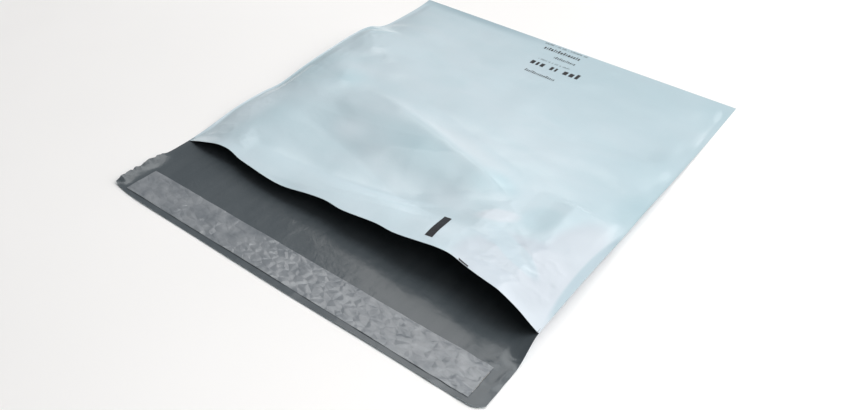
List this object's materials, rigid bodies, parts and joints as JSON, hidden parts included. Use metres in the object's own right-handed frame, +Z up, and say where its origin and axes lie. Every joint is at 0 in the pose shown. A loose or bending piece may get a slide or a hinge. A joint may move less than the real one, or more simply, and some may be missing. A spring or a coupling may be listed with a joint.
{
  "type": "poly mailer",
  "caption": "Unpadded poly mailer lying on its back, mouth agape and front panel bulging, with a closing lip that carries a glue strip under a release liner.",
  "frame": {"origin": "centre of the plan, on the surface the mailer lies on", "axes": "+Y from the lip and mouth towards the closed end, +X across the width to the right as seen from the mouth, +Z up through the front panel"},
  "size_m": [0.395, 0.472, 0.0337],
  "materials": {
    "film_outer": "satin co-extruded film, pale grey-blue outside and dark grey inside",
    "film_inner": "glossy dark grey inner face of the film",
    "print": "dark printed bars",
    "glue": "clear tacky glue",
    "liner": "glossy translucent release film"
  },
  "bodies": {
    "root": {"film_pouch": "film_outer", "adhesive_strip": "glue", "release_liner": "liner"}
  },
  "joints": []
}
